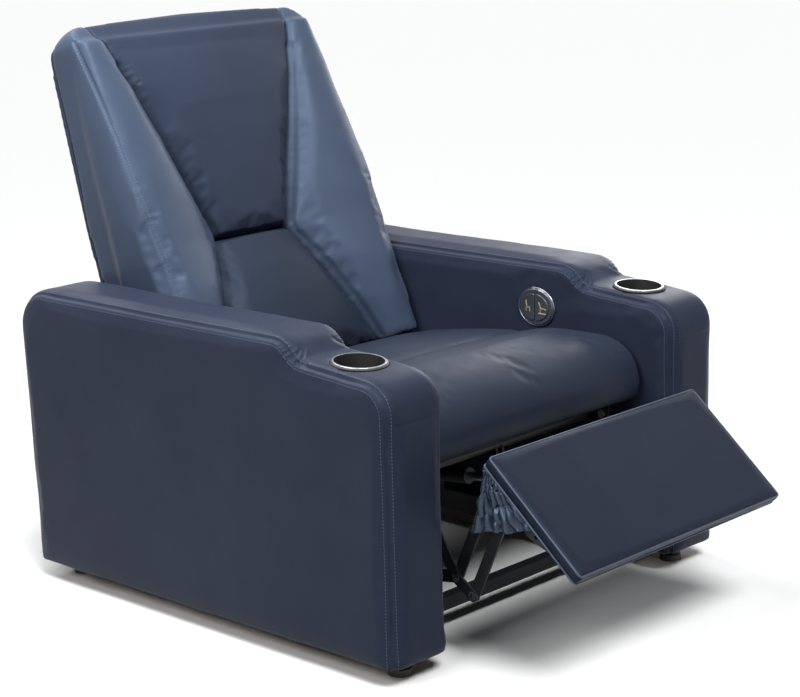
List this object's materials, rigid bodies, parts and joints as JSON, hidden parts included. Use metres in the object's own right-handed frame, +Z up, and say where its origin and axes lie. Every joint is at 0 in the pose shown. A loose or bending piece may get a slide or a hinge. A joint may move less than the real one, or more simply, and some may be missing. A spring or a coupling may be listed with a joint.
{
  "type": "cinema recliner seat",
  "caption": "Padded cinema seat with box arms, cup holders and a winged back; the footrest swings out on a bar linkage while the back reclines and the seat glides forward.",
  "frame": {"origin": "on the floor, in the middle of the four floor-fixing holes, midway between the arms", "axes": "+Z up, -Y out of the front of the seat, +X towards the arm with the control"},
  "size_m": [0.952, 1.3408, 1.0941],
  "materials": {
    "arm_leather": "fine-grained navy leather",
    "back_leather": "fine-grained navy leather",
    "seat_leather": "soft navy leather",
    "footrest_leather": "smooth navy leather",
    "gusset_cloth": "thin gathered leathercloth",
    "timber": "plain beech and plywood",
    "webbing": "woven elastic webbing",
    "black_steel": "black powder coat",
    "zinc_pins": "bright zinc",
    "black_plastic": "fine matt black",
    "gloss_control": "gloss black",
    "control_button": "gloss black",
    "chrome_rim": "bright chrome"
  },
  "bodies": {
    "base": {"base_rail_left": "black_steel", "base_rail_right": "black_steel", "base_cross_tubes": "black_steel", "floor_feet": "black_steel", "glides": "black_plastic", "swing_base_plate_left": "black_steel", "swing_base_plate_right": "black_steel", "swing_base_pins": "zinc_pins", "power_inlet": "black_plastic", "arm_frame_left": "timber", "arm_frame_right": "timber", "arm_band_left": "arm_leather", "arm_band_right": "arm_leather", "arm_outer_panel_left": "arm_leather", "arm_outer_panel_right": "arm_leather", "arm_inner_panel_left": "arm_leather", "arm_inner_panel_right": "arm_leather", "cup_holder_left": "black_plastic", "cup_holder_right": "black_plastic", "cup_rims": "chrome_rim", "control_housing": "gloss_control", "rear_skirt": "arm_leather"},
    "front_swing": {"front_swing_links": "black_steel"},
    "rear_swing": {"rear_swing_links": "black_steel"},
    "seat": {"seat_side_plate_left": "black_steel", "seat_side_plate_right": "black_steel", "seat_frame": "timber", "seat_webbing": "webbing", "seat_cushion": "seat_leather", "seat_bolster": "seat_leather", "seat_pivot_pins": "zinc_pins", "drive_motor": "black_plastic", "drive_bracket": "black_steel"},
    "rear_link": {"rear_links": "black_steel", "rear_link_pins": "zinc_pins", "torque_tube": "black_steel"},
    "front_link": {"front_links": "black_steel", "front_link_pins": "zinc_pins"},
    "upper_link": {"upper_links": "black_steel", "upper_link_pins": "zinc_pins"},
    "lower_link": {"lower_links": "black_steel", "lower_link_pins": "zinc_pins"},
    "footrest": {"footrest_brackets": "black_steel", "footrest_board": "footrest_leather", "footrest_pad": "footrest_leather", "footrest_gusset_left": "gusset_cloth", "footrest_gusset_right": "gusset_cloth"},
    "drive_rod": {"drive_rod": "zinc_pins"},
    "back": {"back_brackets": "black_steel", "back_posts": "timber", "back_rails": "timber", "back_wing_left": "back_leather", "back_wing_right": "back_leather", "back_head_cushion": "back_leather", "back_lumbar_cushion": "seat_leather", "back_side_cover_left": "back_leather", "back_side_cover_right": "back_leather", "back_rear_panel": "back_leather"},
    "button_front": {"button_front": "control_button"},
    "button_rear": {"button_rear": "control_button"}
  },
  "joints": [
    {"name": "recline", "type": "hinge", "parent": "seat", "child": "back", "pos_m": [0, 0.214, 0.352], "axis": [-1, 0, 0], "range_deg": [0, 38]},
    {"name": "front_swing_turn", "type": "hinge", "parent": "base", "child": "front_swing", "pos_m": [0, -0.25355, 0.13626], "axis": [1, 0, 0], "range_deg": [0, 36.5]},
    {"name": "rear_swing_turn", "type": "hinge", "parent": "base", "child": "rear_swing", "pos_m": [0, 0.09045, 0.11427], "axis": [1, 0, 0], "range_deg": [0, 36.5]},
    {"name": "seat_level", "type": "hinge", "parent": "front_swing", "child": "seat", "pos_m": [0, -0.214, 0.258], "axis": [-1, 0, 0], "range_deg": [0, 36.5]},
    {"name": "footrest_drive", "type": "hinge", "parent": "seat", "child": "rear_link", "pos_m": [0, -0.3205, 0.311], "axis": [-1, 0, 0], "range_deg": [-48.8, 37]},
    {"name": "front_link_turn", "type": "hinge", "parent": "seat", "child": "front_link", "pos_m": [0, -0.3645, 0.318], "axis": [-1, 0, 0], "range_deg": [-49, 37.2]},
    {"name": "upper_link_turn", "type": "hinge", "parent": "rear_link", "child": "upper_link", "pos_m": [0, -0.4205, 0.1425], "axis": [-1, 0, 0], "range_deg": [-37.2, 49]},
    {"name": "lower_link_turn", "type": "hinge", "parent": "front_link", "child": "lower_link", "pos_m": [0, -0.503, 0.1235], "axis": [-1, 0, 0], "range_deg": [-37.2, 49]},
    {"name": "footrest_turn", "type": "hinge", "parent": "upper_link", "child": "footrest", "pos_m": [0, -0.549, 0.335], "axis": [-1, 0, 0], "range_deg": [-49, 37.2]},
    {"name": "drive_rod_slide", "type": "slide", "parent": "seat", "child": "drive_rod", "axis": [0, -0.9962, 0.0872], "range_m": [-0.0557, 0.0423]},
    {"name": "button_front_press", "type": "slide", "parent": "base", "child": "button_front", "axis": [1, 0, 0], "range_m": [0, 0.002], "stiffness_N_per_m": 500, "springref_m": -0.001},
    {"name": "button_rear_press", "type": "slide", "parent": "base", "child": "button_rear", "axis": [1, 0, 0], "range_m": [0, 0.002], "stiffness_N_per_m": 500, "springref_m": -0.001}
  ],
  "couplings": [
    {"joint": "front_swing_turn", "follows": "recline", "ratio": 0.94737},
    {"joint": "rear_swing_turn", "follows": "recline", "ratio": 0.94737},
    {"joint": "seat_level", "follows": "recline", "ratio": 0.94737},
    {"joint": "front_link_turn", "follows": "footrest_drive", "ratio": 1},
    {"joint": "upper_link_turn", "follows": "footrest_drive", "ratio": -1},
    {"joint": "lower_link_turn", "follows": "footrest_drive", "ratio": -1},
    {"joint": "footrest_turn", "follows": "footrest_drive", "ratio": 1},
    {"joint": "drive_rod_slide", "follows": "footrest_drive", "m_per_rad": 0.06522}
  ]
}
